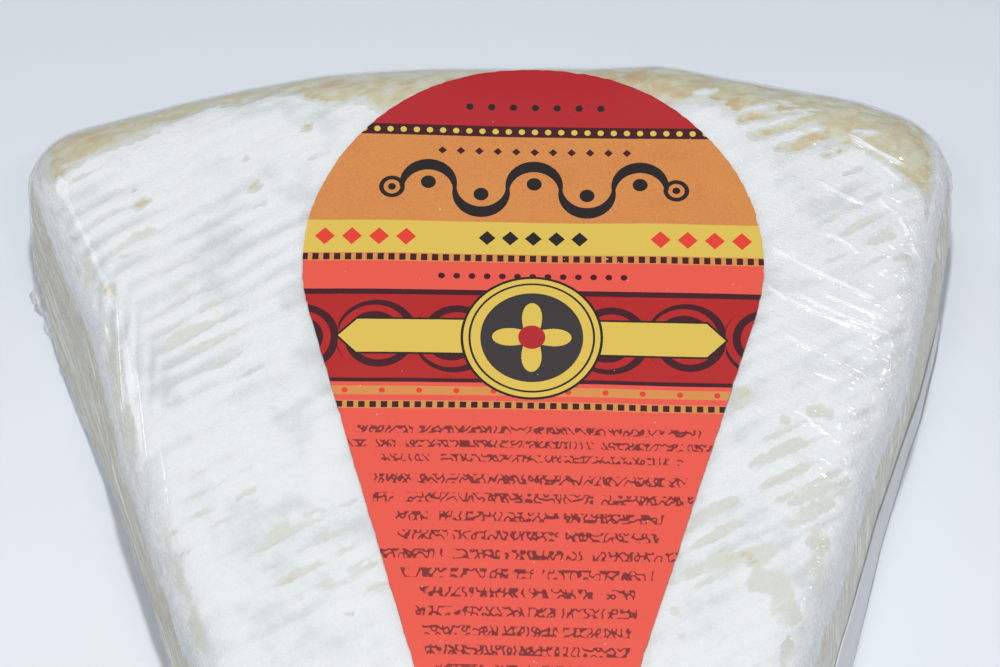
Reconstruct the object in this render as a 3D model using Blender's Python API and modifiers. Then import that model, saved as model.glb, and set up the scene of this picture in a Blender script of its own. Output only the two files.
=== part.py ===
"""A cut wedge of soft white-rinded cheese in clear film, with a paper label on top and one on its side.

The wedge lies on its flat underside with its tip towards -Y and the wheel's outer rind towards +Y.
It is laid out about the point where its two cuts would meet. Its base is centred on the origin at the end.
"""

import math

import bmesh
import bpy
from mathutils import Vector, noise

MM = 0.001

# The wedge seen from above
LEFT_CUT_ANGLE = math.radians(19.3)
RIGHT_CUT_ANGLE = math.radians(14.6)
RIND_RADIUS = 170 * MM
RIND_REACH = 195.7 * MM
RIND_CENTRE = Vector((-2 * MM, RIND_REACH - RIND_RADIUS))
TIP_RADIUS = 6 * MM
SMALLEST_TIP_RADIUS = 1.5 * MM
LEFT_CORNER_RADIUS = 8 * MM
RIGHT_CORNER_RADIUS = 11 * MM
RIGHT_SET_IN = 0.8 * MM

# The wedge seen from the side
HEIGHT = 30 * MM
FOOT_RADIUS = 3 * MM
RIND_FOOT_RADIUS = 7 * MM
RIM_RADIUS = 4.5 * MM
RIND_RIM_RADIUS = 9 * MM
RING_HEIGHTS_MM = (0, 0.4, 1.3, 3, 7, 12, 17, 21, 23.5, 25.7, 27.4, 28.7, 29.5)
WALL_SWELL = 0.8 * MM
LEFT_BOW = 1.3 * MM
RIGHT_BOW = 2.2 * MM
BOW_AT = 167 * MM
BOW_REACH = 25 * MM
NECK_IN = 0.6 * MM
NECK_RISE = 4 * MM

# How far each cut leans in at its rim, in mm, at distances in mm from where the two cuts would meet
LEFT_LEAN = ((0, 0.5), (138, 0.2), (161, 2.8), (175, 1.6), (190, 0.4))
RIGHT_LEAN = ((0, 0.5), (60, 3.0), (115, 2.7), (135, 1.4), (155, -1.0), (175, 0.6), (190, 0.2))

# How many straight pieces make each stretch of the outline
TIP_STEPS = 10
CUT_STEPS = 18
RIND_STEPS = 18
RIGHT_CORNER_STEPS = 8
LEFT_CORNER_STEPS = 7

# The upper rind: a low crown with the ridges that the ripening mat pressed in
CROWN_CENTRE = Vector((-3 * MM, 130 * MM))
CROWN_DROP = 1.6 * MM
CROWN_REACH = 75 * MM
RIDGE_ANGLE = math.radians(30)
RIDGE_PITCH = 2.3 * MM
RIDGE_HEIGHT = 0.3 * MM
RIDGE_CELL = 8 * MM
FADING_SIZE = 14.4 * MM
LUMP_HEIGHT = 0.5 * MM
LUMP_SIZE = 24 * MM
MAT_CENTRE = Vector((-3 * MM, 105.85 * MM))
MAT_WIDTH = 200 * MM
MAT_ROWS = 92

# The labels
GAP = 0.4 * MM
PAPER = 0.3 * MM
LABEL_RADIUS = 25.8 * MM
LABEL_CENTRE = Vector((-3.05 * MM, 164.6 * MM))
LABEL_TAPER = math.radians(16.55)
LABEL_TURN = math.radians(-1.0)
LABEL_TIP_RADIUS = 5 * MM
LABEL_HEAD_STEPS = 40
LABEL_TIP_STEPS = 8
LABEL_CELL = 7 * MM
LABEL_BEND = 10 * MM
LABEL_BEND_CELL = 1.5 * MM
SIDE_LABEL_FROM = 172 * MM
SIDE_LABEL_TO = 96 * MM
SIDE_LABEL_STEPS = 24
SIDE_LABEL_LEVELS = (0, 0.12, 0.3, 0.55, 0.8, 1)
SIDE_LABEL_RISE = (5 * MM, 12 * MM)
SIDE_LABEL_FLARE = (0.2 * MM, 1.9 * MM)
SIDE_LABEL_FOOT = 0.6 * MM
SIDE_LABEL_END_DROP = 0.25
SIDE_LABEL_END_STEPS = 2

FILM_COLOUR = (0.80, 0.81, 0.78, 1)
LABEL_COLOUR = (0.80, 0.10, 0.07, 1)
PAPER_COLOUR = (0.78, 0.80, 0.83, 1)

LEFT_CUT = Vector((-math.sin(LEFT_CUT_ANGLE), math.cos(LEFT_CUT_ANGLE)))
RIGHT_CUT = Vector((math.sin(RIGHT_CUT_ANGLE), math.cos(RIGHT_CUT_ANGLE)))
LEFT_OUT = Vector((-LEFT_CUT.y, LEFT_CUT.x))
RIGHT_OUT = Vector((RIGHT_CUT.y, -RIGHT_CUT.x))


def clear_scene():
    for old in list(bpy.data.objects):
        bpy.data.objects.remove(old, do_unlink=True)


def new_collection(name):
    made = bpy.data.collections.new(name)
    bpy.context.scene.collection.children.link(made)
    return made


def plain_material(name, colour, roughness):
    material = bpy.data.materials.new(name)
    material.use_nodes = True
    shader = material.node_tree.nodes["Principled BSDF"]
    shader.inputs["Base Color"].default_value = colour
    shader.inputs["Roughness"].default_value = roughness
    shader.inputs["Metallic"].default_value = 0
    return material


def object_from(bm, name, collection):
    bmesh.ops.recalc_face_normals(bm, faces=bm.faces)
    mesh = bpy.data.meshes.new(name)
    bm.to_mesh(mesh)
    bm.free()
    made = bpy.data.objects.new(name, mesh)
    collection.objects.link(made)
    return made


def angle_of(direction):
    return math.atan2(direction.y, direction.x)


def arc(centre, radius, start, end, steps):
    """Points and outward normals along an arc, turning from the start angle to the end angle."""
    found = []
    for i in range(steps + 1):
        angle = start + (end - start) * i / steps
        outward = Vector((math.cos(angle), math.sin(angle)))
        found.append((centre + outward * radius, outward))
    return found


def line(start, end, outward, steps):
    """Points strictly between start and end, with their shared outward normal."""
    return [(start.lerp(end, i / steps), outward) for i in range(1, steps)]


def tip_centre(left_in, right_in):
    """The point that lies this far inside the left cut and that far inside the right one."""
    turn = LEFT_OUT.x * RIGHT_OUT.y - LEFT_OUT.y * RIGHT_OUT.x
    x = (-left_in * RIGHT_OUT.y + right_in * LEFT_OUT.y) / turn
    y = (-right_in * LEFT_OUT.x + left_in * RIGHT_OUT.x) / turn
    return Vector((x, y))


def corner_centre(cut, outward, cut_in, rind_in):
    """The point that lies this far inside a cut and that far inside the rind's arc."""
    base = -outward * cut_in - RIND_CENTRE
    reach = RIND_RADIUS - rind_in
    half = base.dot(cut)
    travel = -half + math.sqrt(half * half - base.length_squared + reach * reach)
    return cut * travel - outward * cut_in


def outline(left_in, right_in, rind_in):
    """The wedge's plan with its walls moved inwards: (point, outward normal), anticlockwise from the tip."""
    tip_radius = max(TIP_RADIUS - (left_in + right_in) / 2, SMALLEST_TIP_RADIUS)
    left_radius = max(LEFT_CORNER_RADIUS - left_in, SMALLEST_TIP_RADIUS)
    right_radius = max(RIGHT_CORNER_RADIUS - right_in, SMALLEST_TIP_RADIUS)
    tip_at = tip_centre(left_in + tip_radius, right_in + tip_radius)
    right_at = corner_centre(RIGHT_CUT, RIGHT_OUT, right_in + right_radius, rind_in + right_radius)
    left_at = corner_centre(LEFT_CUT, LEFT_OUT, left_in + left_radius, rind_in + left_radius)
    right_meets = angle_of(right_at - RIND_CENTRE)
    left_meets = angle_of(left_at - RIND_CENTRE)

    left_turn, right_turn = angle_of(LEFT_OUT), angle_of(RIGHT_OUT)
    tip = arc(tip_at, tip_radius, left_turn, right_turn, TIP_STEPS)
    right_corner = arc(right_at, right_radius, right_turn, right_meets, RIGHT_CORNER_STEPS)
    rind = arc(RIND_CENTRE, RIND_RADIUS - rind_in, right_meets, left_meets, RIND_STEPS)[1:-1]
    left_corner = arc(left_at, left_radius, left_meets, left_turn + 2 * math.pi, LEFT_CORNER_STEPS)
    right_cut = line(tip[-1][0], right_corner[0][0], RIGHT_OUT, CUT_STEPS)
    left_cut = line(left_corner[-1][0], tip[0][0], LEFT_OUT, CUT_STEPS)
    return tip + right_cut + right_corner + rind + left_corner + left_cut


def rounding(depth, radius):
    """How far a quarter round of this radius has come in at a depth past its start."""
    depth = min(max(depth, 0), radius)
    return radius - math.sqrt(radius * radius - depth * depth)


def ease(share):
    """A smooth step from 0 to 1."""
    share = min(max(share, 0), 1)
    return share * share * (3 - 2 * share)


def lumps(x, y, z):
    """Slow unevenness of the soft cheese, from -1 to 1."""
    return noise.noise(Vector((x, y, z)) / LUMP_SIZE)


def dome(x, y):
    """Height of the upper rind, without its ridges and its rounded rims."""
    away = (Vector((x, y)) - CROWN_CENTRE).length / CROWN_REACH
    return HEIGHT + CROWN_DROP * (0.5 - away * away) + LUMP_HEIGHT * lumps(x, y, HEIGHT)


def crown(x, y):
    """Height of the upper rind with the wheel's rounded rim, without its ridges."""
    into_rim = (Vector((x, y)) - RIND_CENTRE).length - (RIND_RADIUS - RIND_RIM_RADIUS)
    return dome(x, y) - rounding(into_rim, RIND_RIM_RADIUS)


def wall_inset(z, foot, rim):
    """How far inside its widest line a wall with this foot and rim rounding stands at height z."""
    swell = WALL_SWELL * (1 - math.sin(math.pi * z / HEIGHT))
    return rounding(foot - z, foot) + rounding(z - (HEIGHT - rim), rim) + swell


def lean_at(leans, y):
    """A cut's lean at a distance up the wedge, eased between the listed ones."""
    for (low, low_lean), (high, high_lean) in zip(leans, leans[1:]):
        if y <= high * MM:
            break
    return (low_lean + (high_lean - low_lean) * ease((y / MM - low) / (high - low))) * MM


def slump(x, y, z, outward):
    """How far the cheese has moved out at a point of a wall: its lumps, the cuts' bows and their lean."""
    left, right = max(outward.dot(LEFT_OUT), 0), max(outward.dot(RIGHT_OUT), 0)
    bow = (left * LEFT_BOW + right * RIGHT_BOW) * ease(1 - abs(y - BOW_AT) / BOW_REACH) * (1 - z / HEIGHT)
    lean = (left * lean_at(LEFT_LEAN, y) + right * lean_at(RIGHT_LEAN, y)) * z / HEIGHT
    return LUMP_HEIGHT * lumps(x, y, z) * min(z / FOOT_RADIUS, 1) + bow - lean


def wall_ring(z, further_in=0):
    """The wedge's outline at height z, as points."""
    cut_in = wall_inset(z, FOOT_RADIUS, RIM_RADIUS) + further_in
    rind_in = wall_inset(z, RIND_FOOT_RADIUS, RIND_RIM_RADIUS) + further_in
    ring = []
    for point, outward in outline(cut_in, cut_in + RIGHT_SET_IN, rind_in):
        at = point + outward * slump(point.x, point.y, z, outward)
        ring.append(Vector((at.x, at.y, z * dome(at.x, at.y) / HEIGHT)))
    return ring


def lofted_wedge(collection):
    """The walls as stacked outlines up to their rounded rims, then a neck that stands above the crown."""
    rings = [wall_ring(height * MM) for height in RING_HEIGHTS_MM]
    rings.append(wall_ring(HEIGHT))
    rings.append(wall_ring(HEIGHT, NECK_IN))
    for vertex in rings[-1]:
        vertex.z = HEIGHT + NECK_RISE
    bm = bmesh.new()
    rings = [[bm.verts.new(at) for at in ring] for ring in rings]
    for lower, upper in zip(rings, rings[1:]):
        for i, corner in enumerate(lower):
            following = (i + 1) % len(lower)
            bm.faces.new((corner, lower[following], upper[following], upper[i]))
    bm.faces.new(reversed(rings[0]))
    bm.faces.new(rings[-1])
    return object_from(bm, "brie_wedge_in_film", collection)


def ridged_slab(collection):
    """A block whose top is the ridged rind. What the wedge shares with it is the finished wedge."""
    bpy.ops.mesh.primitive_grid_add(
        x_subdivisions=round(MAT_WIDTH / RIDGE_CELL), y_subdivisions=2 * MAT_ROWS, size=1
    )
    slab = bpy.context.object
    slab.name = "ridged_slab"
    along = Vector((math.cos(RIDGE_ANGLE), math.sin(RIDGE_ANGLE)))
    across = Vector((-along.y, along.x))
    bm = bmesh.new()
    bm.from_mesh(slab.data)
    for vertex in bm.verts:
        row = round((vertex.co.y + 0.5) * 2 * MAT_ROWS)
        at = MAT_CENTRE + along * (vertex.co.x * MAT_WIDTH) + across * (vertex.co.y * MAT_ROWS * RIDGE_PITCH)
        strength = 0.5 + 0.5 * noise.noise(Vector((at.x, at.y, HEIGHT)) / FADING_SIZE)
        ridge = RIDGE_HEIGHT * strength * (1 if row % 2 else -1)
        vertex.co = (at.x, at.y, dome(at.x, at.y) - RIDGE_HEIGHT / 2 + ridge)
    walls = bmesh.ops.extrude_face_region(bm, geom=bm.faces[:])
    for vertex in walls["geom"]:
        if isinstance(vertex, bmesh.types.BMVert):
            vertex.co.z = -HEIGHT
    bmesh.ops.recalc_face_normals(bm, faces=bm.faces)
    bm.to_mesh(slab.data)
    bm.free()
    for old in list(slab.users_collection):
        old.objects.unlink(slab)
    collection.objects.link(slab)
    slab.hide_render = True
    slab.display_type = "WIRE"
    return slab


def keep_shared(wedge, slab):
    """Cuts the wedge down to what it shares with the slab."""
    crop = wedge.modifiers.new("Ridged top", "BOOLEAN")
    crop.operation = "INTERSECT"
    crop.object = slab
    graph = bpy.context.evaluated_depsgraph_get()
    finished = bpy.data.meshes.new_from_object(wedge.evaluated_get(graph))
    wedge.modifiers.clear()
    wedge.data = finished
    bpy.data.objects.remove(slab, do_unlink=True)


def label_outline():
    """The top label's plan: a round head with straight sides that taper to a small round tip."""
    to_tip = (LABEL_RADIUS - LABEL_TIP_RADIUS) / math.sin(LABEL_TAPER)
    turns = (math.pi + LABEL_TAPER, 2 * math.pi - LABEL_TAPER)
    head = arc(Vector((0, 0)), LABEL_RADIUS, -LABEL_TAPER, math.pi + LABEL_TAPER, LABEL_HEAD_STEPS)
    tip = arc(Vector((0, -to_tip)), LABEL_TIP_RADIUS, *turns, LABEL_TIP_STEPS)
    return [point for point, _ in head + tip]


def label_folds():
    """Where the label is divided so that it can follow the rind: (point, normal) of each plane."""
    count = round(4 * LABEL_RADIUS / LABEL_CELL)
    places = [i * LABEL_CELL for i in range(-count, count + 1)]
    planes = [(Vector((place, 0, 0)), Vector((1, 0, 0))) for place in places]
    bends = [LABEL_RADIUS - i * LABEL_BEND_CELL for i in range(1, round(LABEL_BEND / LABEL_BEND_CELL) + 1)]
    rows = [place for place in places if place < min(bends)] + bends
    return planes + [(Vector((0, place, 0)), Vector((0, 1, 0))) for place in rows]


def top_label(collection):
    """The label's outline divided into cells, laid over the ridges and given its thickness."""
    bm = bmesh.new()
    bm.faces.new([bm.verts.new((p.x, p.y, 0)) for p in label_outline()])
    for place, normal in label_folds():
        everything = bm.verts[:] + bm.edges[:] + bm.faces[:]
        bmesh.ops.bisect_plane(bm, geom=everything, plane_co=place, plane_no=normal, dist=1e-7)
    turn = Vector((math.cos(LABEL_TURN), math.sin(LABEL_TURN)))
    for vertex in bm.verts:
        flat = vertex.co.copy()
        x = LABEL_CENTRE.x + flat.x * turn.x - flat.y * turn.y
        y = LABEL_CENTRE.y + flat.x * turn.y + flat.y * turn.x
        vertex.co = (x, y, crown(x, y) + RIDGE_HEIGHT + GAP)
    label = object_from(bm, "top_label", collection)
    if label.data.polygons[0].normal.z < 0:
        label.data.flip_normals()
    thicken(label)
    return label


def right_cut_at(y, z):
    """The point of the right cut at a distance up the wedge and a height."""
    inset = wall_inset(z, FOOT_RADIUS, RIM_RADIUS) + RIGHT_SET_IN
    point = Vector((y * math.tan(RIGHT_CUT_ANGLE), y)) - RIGHT_OUT * inset
    return point + RIGHT_OUT * slump(point.x, point.y, z, RIGHT_OUT)


def side_label(collection):
    """A strip of paper along the foot of the right cut, standing off it a little at its lower edge."""
    bm = bmesh.new()
    rows = []
    for i in range(SIDE_LABEL_STEPS + 1):
        share = i / SIDE_LABEL_STEPS
        y = SIDE_LABEL_FROM + (SIDE_LABEL_TO - SIDE_LABEL_FROM) * share
        rise = SIDE_LABEL_RISE[0] + (SIDE_LABEL_RISE[1] - SIDE_LABEL_RISE[0]) * share
        flare = SIDE_LABEL_FLARE[0] + (SIDE_LABEL_FLARE[1] - SIDE_LABEL_FLARE[0]) * share
        from_end = min(i, SIDE_LABEL_STEPS - i, SIDE_LABEL_END_STEPS) / SIDE_LABEL_END_STEPS
        rise *= 1 - SIDE_LABEL_END_DROP * (1 - from_end)
        row = []
        for level in SIDE_LABEL_LEVELS:
            z = SIDE_LABEL_FOOT + rise * level
            off = GAP + flare * (1 - level) ** 2
            at = right_cut_at(y, max(z, FOOT_RADIUS)) + RIGHT_OUT * off
            row.append(bm.verts.new((at.x, at.y, z)))
        rows.append(row)
    for far, near in zip(rows, rows[1:]):
        for i in range(len(SIDE_LABEL_LEVELS) - 1):
            bm.faces.new((far[i], near[i], near[i + 1], far[i + 1]))
    label = object_from(bm, "side_label", collection)
    if label.data.polygons[0].normal.x < 0:
        label.data.flip_normals()
    thicken(label)
    return label


def thicken(label):
    """Gives a sheet the paper's thickness, on the side that its faces look towards."""
    solid = label.modifiers.new("Paper", "SOLIDIFY")
    solid.thickness = PAPER
    solid.offset = 1


def centre_on_base(objects):
    """Moves everything so that the middle of the whole object's base is the origin."""
    bpy.context.view_layer.update()
    graph = bpy.context.evaluated_depsgraph_get()
    corners = [Vector(corner) for made in objects for corner in made.evaluated_get(graph).bound_box]
    low_x, high_x = min(c.x for c in corners), max(c.x for c in corners)
    low_y, high_y = min(c.y for c in corners), max(c.y for c in corners)
    for made in objects:
        made.location = (-(low_x + high_x) / 2, -(low_y + high_y) / 2, 0)


def main():
    clear_scene()
    parts = new_collection("brie_wedge")
    cutters = new_collection("cutters")
    wedge = lofted_wedge(parts)
    keep_shared(wedge, ridged_slab(cutters))
    upper = top_label(parts)
    side = side_label(parts)
    for made, colour, roughness in (
        (wedge, FILM_COLOUR, 0.35),
        (upper, LABEL_COLOUR, 0.5),
        (side, PAPER_COLOUR, 0.6),
    ):
        made.data.materials.clear()
        made.data.materials.append(plain_material(made.name, colour, roughness))
    centre_on_base([wedge, upper, side])


main()
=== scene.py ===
# %% [markdown]
# # A cut wedge of soft cheese in clear film
# This lesson dresses a plain model of a wedge of white-rinded cheese. The wedge lies on its flat underside,
# wrapped tightly in clear film. A large printed label sticks to the film on top, and a narrow strip of white
# paper runs along the foot of the right cut. The plain model holds the sizes. Everything here is laid over it,
# in metres.

# %% Load the plain model
import math

import bpy
import numpy as np
from mathutils import Matrix, Vector, noise


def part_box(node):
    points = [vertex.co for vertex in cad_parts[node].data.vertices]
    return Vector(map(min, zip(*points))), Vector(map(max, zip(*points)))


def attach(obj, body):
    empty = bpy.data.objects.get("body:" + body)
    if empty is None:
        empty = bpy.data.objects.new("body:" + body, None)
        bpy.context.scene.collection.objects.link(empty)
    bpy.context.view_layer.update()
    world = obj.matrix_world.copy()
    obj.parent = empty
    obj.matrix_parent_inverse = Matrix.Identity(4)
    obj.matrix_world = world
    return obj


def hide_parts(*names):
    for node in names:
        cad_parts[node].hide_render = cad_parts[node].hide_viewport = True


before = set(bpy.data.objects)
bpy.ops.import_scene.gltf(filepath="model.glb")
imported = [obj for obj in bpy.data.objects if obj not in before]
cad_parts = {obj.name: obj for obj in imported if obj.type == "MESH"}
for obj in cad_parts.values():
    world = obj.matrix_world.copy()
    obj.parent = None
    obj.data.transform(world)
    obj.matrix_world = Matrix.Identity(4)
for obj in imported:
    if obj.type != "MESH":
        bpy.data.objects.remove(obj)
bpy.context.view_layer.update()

MM = 0.001
wedge_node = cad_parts["brie_wedge_in_film"]
print("pieces of the plain model:", sorted(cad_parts))

# %% [markdown]
# ## Where things are
# The label's round head is the easiest place to measure from, on the real pack as well as here, so every
# position on the wedge is given in millimetres from the middle of that head, with x to the right and y towards
# the outer rind. The two cuts of a wedge meet at the centre of the wheel it came from. That point lies past the
# wedge's tip.

# %% Places on the wedge
label_low, label_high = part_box("top_label")
LABEL_RADIUS = 25.8
LABEL_LIFT = 0.1
HEAD = Vector(((label_low.x + label_high.x) / 2, label_high.y - (LABEL_RADIUS + LABEL_LIFT) * MM, 0))

CUTS_MEET = (3.05, -164.6)
LEFT_CUT_ANGLE = math.radians(19.3)
RIGHT_CUT_ANGLE = math.radians(14.6)
RIND_RADIUS = 170
RIND_CENTRE = (CUTS_MEET[0] - 2, CUTS_MEET[1] + 25.7)
HEIGHT = 30
print("middle of the label's head, in metres:", [round(v, 4) for v in HEAD[:2]])

# %% [markdown]
# ## The camera
# The photograph looks down on the wedge at about sixty degrees, from the side of its tip, through a long lens.
# A long lens keeps the two cuts from spreading too much. The wedge runs out of the bottom of the picture.

# %% Camera
VIEW_DOWN = math.radians(60.2)
VIEW_DISTANCE = 463 * MM
LENS = 150
SENSOR = 36
AIM = HEAD + Vector((-3.7, -9.2, HEIGHT)) * MM


def add_camera():
    lens = bpy.data.cameras.new("camera")
    lens.lens = LENS
    lens.sensor_width = SENSOR
    camera = bpy.data.objects.new("camera", lens)
    bpy.context.scene.collection.objects.link(camera)
    camera.location = AIM + VIEW_DISTANCE * Vector((0, -math.cos(VIEW_DOWN), math.sin(VIEW_DOWN)))
    camera.rotation_euler = (math.pi / 2 - VIEW_DOWN, 0, 0)
    bpy.context.scene.camera = camera
    return camera


camera = add_camera()
print("camera at", [round(v, 3) for v in camera.location])

# %% [markdown]
# ## Working with selected things
# Blender's operators act on what is selected. These helpers select one piece, run edit-mode steps on it, or add
# a modifier and apply it at once, as a modeller would by hand.

# %% Modelling helpers
CRISP_ANGLE = math.radians(50)


def only(piece):
    bpy.ops.object.select_all(action="DESELECT")
    piece.select_set(True)
    bpy.context.view_layer.objects.active = piece


def apply_modifier(piece, kind, **settings):
    only(piece)
    added = piece.modifiers.new(kind, kind)
    for name, value in settings.items():
        setattr(added, name, value)
    bpy.ops.object.modifier_apply(modifier=added.name)


def edit(piece, *steps):
    """Runs edit-mode steps on a piece that is selected all over."""
    only(piece)
    bpy.ops.object.mode_set(mode="EDIT")
    bpy.ops.mesh.select_all(action="SELECT")
    for step in steps:
        step()
    bpy.ops.object.mode_set(mode="OBJECT")


def edit_selected(piece, step, **settings):
    """Runs one edit-mode step on the faces of a piece that are already selected."""
    bpy.context.view_layer.objects.active = piece
    bpy.ops.object.mode_set(mode="EDIT")
    step(**settings)
    bpy.ops.object.mode_set(mode="OBJECT")


def copy_of(piece, name):
    made = bpy.data.objects.new(name, piece.data.copy())
    made.data.name = name
    bpy.context.scene.collection.objects.link(made)
    return made


def settle(piece, crisp=False):
    """Puts a piece's place into its mesh, so that its object is at the origin. Crisp paper keeps its edges."""
    only(piece)
    bpy.ops.object.transform_apply(location=True, rotation=True, scale=True)
    if crisp:
        bpy.ops.object.shade_smooth_by_angle(angle=CRISP_ANGLE)
    else:
        bpy.ops.object.shade_smooth()


def triangles(piece):
    return sum(len(face.vertices) - 2 for face in piece.data.polygons)


print("helpers ready")

# %% [markdown]
# ## Points as arrays
# Relief on soft things is easiest to give as formulas. With numpy, a formula is worked out for all points of a
# mesh at once. Blender's noise takes one point at a time, so it gets a small loop of its own.

# %% Point helpers
def points_of(piece):
    flat = np.empty(len(piece.data.vertices) * 3)
    piece.data.vertices.foreach_get("co", flat)
    return flat.reshape(-1, 3)


def normals_of(piece):
    flat = np.empty(len(piece.data.vertices) * 3)
    piece.data.vertices.foreach_get("normal", flat)
    return flat.reshape(-1, 3)


def move_points(piece, points):
    piece.data.vertices.foreach_set("co", points.ravel())
    piece.data.update()


def from_head(points):
    """x, y and z in mm from the middle of the label's head."""
    return ((points - np.array(HEAD)) / MM).T


def noise_at(x, y, z, size, seed=0):
    """Smooth noise from -1 to 1 at points in mm, with bumps of about the given size."""
    places = np.stack([x / size + seed * 7.3, y / size - seed * 3.1, z / size + seed * 1.7], axis=1)
    return np.array([noise.noise(place) for place in places.tolist()])


def step_between(low, high, value):
    """A smooth step from 0 at low to 1 at high."""
    share = np.clip((value - low) / (high - low), 0, 1)
    return share * share * (3 - 2 * share)


def store(piece, name, values):
    """Keeps one number for each point of a mesh, for its material to read."""
    layer = piece.data.attributes.new(name, "FLOAT", "POINT")
    layer.data.foreach_set("value", np.asarray(values, dtype=np.float32))


print("noise at the head:", round(float(noise_at(*(np.zeros(1),) * 3, size=10)[0]), 3))

# %% [markdown]
# ## One skin for the cheese and its film
# The film clings to the cheese, so both come from one shape. The plain model's surface is merged into one mesh
# and remeshed with even cells of a little over half a millimetre. Smoothing then takes out its facets and
# coarse ridges, and the outer rind is moved out and in a little, as a real one is never a true arc. The
# underside stays flat and nobody sees it, so its many cells are dissolved into one face.

# %% Skin
CELL = 0.6 * MM
SMOOTHINGS = 36
FLAT_BELOW = 0.12 * MM
# How far the outer rind stands out or in from its plain arc, in mm, at places in mm across the wedge
RIND_AT = (-55, -44, -30, -24, -12, -2, 7, 11, 14.5, 18, 23, 30, 38, 41.5, 45, 50)
RIND_OUT = (0.5, 0.5, 0.6, 0.85, 0.5, 0, 0.2, 0.6, 1.1, 0.8, 0.1, -0.4, -0.4, -0.85, -0.5, 0)
# The shift grows from nothing to all between these two places along the wedge
RIND_SHIFT_FROM, RIND_SHIFT_FULL = 2, 24


def make_skin():
    skin = copy_of(wedge_node, "skin")
    edit(skin, lambda: bpy.ops.mesh.remove_doubles(threshold=1e-6))
    apply_modifier(skin, "REMESH", mode="VOXEL", voxel_size=CELL * 1)
    apply_modifier(skin, "SMOOTH", factor=0.5, iterations=SMOOTHINGS)
    points = points_of(skin)
    points[:, 2] = np.maximum(points[:, 2], 0)
    underside = points[:, 2] < FLAT_BELOW
    points[underside, 2] = 0
    x, y, z = from_head(points)
    points[:, 1] += step_between(RIND_SHIFT_FROM, RIND_SHIFT_FULL, y) * np.interp(x, RIND_AT, RIND_OUT) * MM
    move_points(skin, points)
    edit(
        skin,
        lambda: bpy.ops.mesh.select_mode(type="FACE"),
        lambda: bpy.ops.mesh.select_all(action="DESELECT"),
    )
    for face in skin.data.polygons:
        face.select = all(underside[i] for i in face.vertices) and face.normal.z < -0.9
    edit_selected(skin, bpy.ops.mesh.dissolve_faces)
    return skin


skin = make_skin()
print("skin:", len(skin.data.vertices), "points,", triangles(skin), "triangles")

# %% [markdown]
# ## How far inside each wall a point lies
# Almost everything on the wedge follows its walls: bare rind along the edges, paste on the cuts, folds of film
# that run along them. These distances, in mm, are all that the formulas below need.

# %% Distances from the walls
def inside_left(x, y):
    away_x, away_y = x - CUTS_MEET[0], y - CUTS_MEET[1]
    return away_x * math.cos(LEFT_CUT_ANGLE) + away_y * math.sin(LEFT_CUT_ANGLE)


def inside_right(x, y):
    away_x, away_y = x - CUTS_MEET[0], y - CUTS_MEET[1]
    return -away_x * math.cos(RIGHT_CUT_ANGLE) + away_y * math.sin(RIGHT_CUT_ANGLE)


def inside_rind(x, y):
    return RIND_RADIUS - np.hypot(x - RIND_CENTRE[0], y - RIND_CENTRE[1])


x, y, z = from_head(points_of(skin))
print("least distance inside the left cut:", round(float(inside_left(x, y).min()), 2), "mm")

# %% [markdown]
# ## The ridges of the ripening mat
# A cheese like this ripens on a slatted mat, which presses parallel grooves into its rind. Here they run up to
# the right at thirty degrees. Near the left cut they turn and run along it, which makes a row of chevrons. A
# cosine raised to a power gives narrow grooves between broad ridges, and noise bends and fades them.

# %% Mat grooves
MAT_PITCH = 2.3
MAT_ANGLE = math.radians(30)
MAT_ORIGIN = (0.05, -58.75)
EDGE_PITCH = 1.75
EDGE_FOLD_X = -45.4


def groove(phase):
    return (0.5 + 0.5 * np.cos(2 * math.pi * phase)) ** 2.5


def mat_bend(x, y, z):
    """How far noise shifts each groove, in pitches."""
    return 0.30 * noise_at(x, y, z, 14, 1) + 0.16 * noise_at(x, y, z, 5, 2)


def mat_line(x, y, bend):
    """How near each point is to the middle of a slanting groove, from 0 to 1."""
    across = -(x - MAT_ORIGIN[0]) * math.sin(MAT_ANGLE) + (y - MAT_ORIGIN[1]) * math.cos(MAT_ANGLE)
    return groove(across / MAT_PITCH + bend)


def mat_grooves(x, y, bend):
    """How deep in a groove each point is, from 0 on a ridge to 1."""
    slanting = mat_line(x, y, bend)
    upright = groove((x - EDGE_FOLD_X - 0.04 * (y + 2.9)) / EDGE_PITCH + 0.5 * bend)
    corner = -45.5 + 0.42 * np.clip(-3 - y, 0, 13)
    turned = step_between(1.1, -1.1, x - corner) * step_between(-34, -26, y) * step_between(0, -4, y)
    chevrons = step_between(-24, -34, x) * step_between(-26, -14, y) * step_between(14, 4, y)
    pressed = 0.22 + 0.78 * chevrons + 0.25 * step_between(18, 28, x)
    return (slanting * (1 - turned) + upright * turned) * pressed


print("mat pitch:", MAT_PITCH, "mm")
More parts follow.
